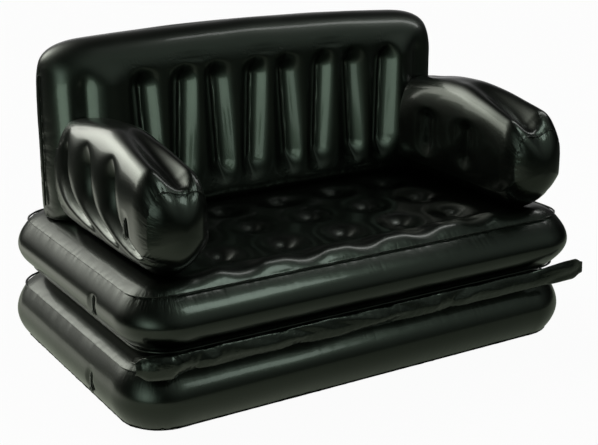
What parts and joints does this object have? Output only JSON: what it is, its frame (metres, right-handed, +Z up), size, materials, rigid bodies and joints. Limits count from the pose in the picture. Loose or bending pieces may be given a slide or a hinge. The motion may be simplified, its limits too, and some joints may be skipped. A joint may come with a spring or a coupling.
{
  "type": "inflatable sofa",
  "caption": "Two-tier inflatable sofa with a ribbed backrest, bulging arms, a dimpled seat and plug valves; its lower tier folds out to make a bed.",
  "frame": {"origin": "on the floor, on the underside of the lower tier, below the middle of the seat tier", "axes": "+X to the right seen from the front, +Y to the back, +Z up; the seat faces -Y"},
  "size_m": [1.53, 0.9957, 0.945],
  "materials": {
    "chamber_film": "black PVC film, glossy, drawn tight over the air",
    "weld_seam": "black PVC film, glossy, finely ruffled along the weld",
    "web_film": "loose black PVC sheet, creased",
    "tie_film": "black PVC strip, dull",
    "valve_film": "moulded black PVC, glossy",
    "valve_plug": "moulded black PVC, glossy"
  },
  "bodies": {
    "seat_unit": {"seat_chamber": "chamber_film", "backrest_chamber": "chamber_film", "left_arm_chamber": "chamber_film", "right_arm_chamber": "chamber_film", "seat_top_seam": "weld_seam", "seat_bottom_seam": "weld_seam", "backrest_left_seam": "weld_seam", "backrest_right_seam": "weld_seam", "left_arm_front_seam": "weld_seam", "right_arm_front_seam": "weld_seam", "backrest_tie_strip_1": "tie_film", "backrest_tie_strip_2": "tie_film", "backrest_tie_strip_3": "tie_film", "backrest_tie_strip_4": "tie_film", "backrest_tie_strip_5": "tie_film", "backrest_tie_strip_6": "tie_film", "backrest_tie_strip_7": "tie_film", "backrest_tie_strip_8": "tie_film", "left_arm_tie_strip_1": "tie_film", "left_arm_tie_strip_2": "tie_film", "right_arm_tie_strip_1": "tie_film", "right_arm_tie_strip_2": "tie_film", "hinge_web_upper": "web_film", "seat_valve_body": "valve_film", "arm_valve_body": "valve_film"},
    "base": {"base_chamber": "chamber_film", "base_top_seam": "weld_seam", "base_bottom_seam": "weld_seam", "hinge_web_lower": "web_film", "base_valve_body": "valve_film"},
    "arm_plug": {"arm_valve_plug": "valve_plug"},
    "arm_flap": {"arm_check_flap": "tie_film"},
    "seat_plug": {"seat_valve_plug": "valve_plug"},
    "seat_flap": {"seat_check_flap": "tie_film"},
    "base_plug": {"base_valve_plug": "valve_plug"},
    "base_flap": {"base_check_flap": "tie_film"}
  },
  "joints": [
    {"name": "fold_out", "type": "hinge", "parent": "seat_unit", "child": "base", "pos_m": [0, -0.497, 0.2], "axis": [-1, 0, 0], "range_deg": [0, 180]},
    {"name": "arm_plug_strap", "type": "hinge", "parent": "seat_unit", "child": "arm_plug", "pos_m": [-0.7031, -0.3, 0.5545], "axis": [0, 1, 0], "range_deg": [0, 150]},
    {"name": "arm_flap_hinge", "type": "hinge", "parent": "seat_unit", "child": "arm_flap", "pos_m": [-0.682, -0.3, 0.5276], "axis": [0, -1, 0], "range_deg": [0, 60]},
    {"name": "seat_plug_strap", "type": "hinge", "parent": "seat_unit", "child": "seat_plug", "pos_m": [-0.7576, -0.196, 0.3185], "axis": [0, 1, 0], "range_deg": [0, 150]},
    {"name": "seat_flap_hinge", "type": "hinge", "parent": "seat_unit", "child": "seat_flap", "pos_m": [-0.7365, -0.196, 0.2916], "axis": [0, -1, 0], "range_deg": [0, 60]},
    {"name": "base_plug_strap", "type": "hinge", "parent": "base", "child": "base_plug", "pos_m": [-0.7676, -0.182, 0.0905], "axis": [0, 1, 0], "range_deg": [0, 150]},
    {"name": "base_flap_hinge", "type": "hinge", "parent": "base", "child": "base_flap", "pos_m": [-0.7465, -0.182, 0.0636], "axis": [0, -1, 0], "range_deg": [0, 60]}
  ]
}
